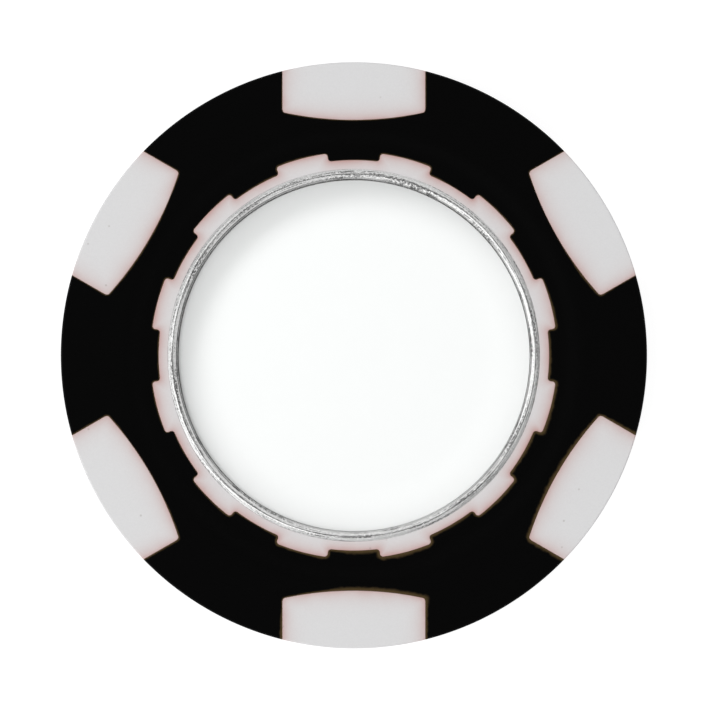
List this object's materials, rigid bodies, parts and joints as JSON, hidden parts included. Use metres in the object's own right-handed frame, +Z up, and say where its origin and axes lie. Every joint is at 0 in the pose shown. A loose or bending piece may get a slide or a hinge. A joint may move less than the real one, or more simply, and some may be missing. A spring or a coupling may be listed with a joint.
{
  "type": "poker chip",
  "caption": "Round two-colour moulded poker chip with light edge spots and a toothed collar round a shallow pocket, which holds a lift-out metal ball marker with a blank white face.",
  "frame": {"origin": "centre of the chip's back face, on the surface that it lies on", "axes": "+Z up through the marker; +X through the middle of a black stretch of the rim; +Y through the middle of a white edge spot"},
  "size_m": [0.04, 0.04, 0.0034],
  "materials": {
    "white_abs": "satin moulded plastic, fine grain",
    "black_abs": "satin moulded plastic, fine grain",
    "steel": "punched sheet, plain",
    "nickel_plate": "bright nickel plate",
    "plated_steel": "plated and lightly tumbled",
    "white_print": "plain white print",
    "clear_resin": "clear poured resin"
  },
  "bodies": {
    "chip": {"core_moulding": "white_abs", "face_moulding": "black_abs", "weight_ring": "steel", "magnet": "nickel_plate"},
    "marker": {"marker_cup": "plated_steel", "print_disc": "white_print", "resin_cover": "clear_resin"}
  },
  "joints": [
    {"name": "marker_lift", "type": "slide", "parent": "chip", "child": "marker", "axis": [0, 0, 1], "range_m": [0, 0.012]}
  ]
}
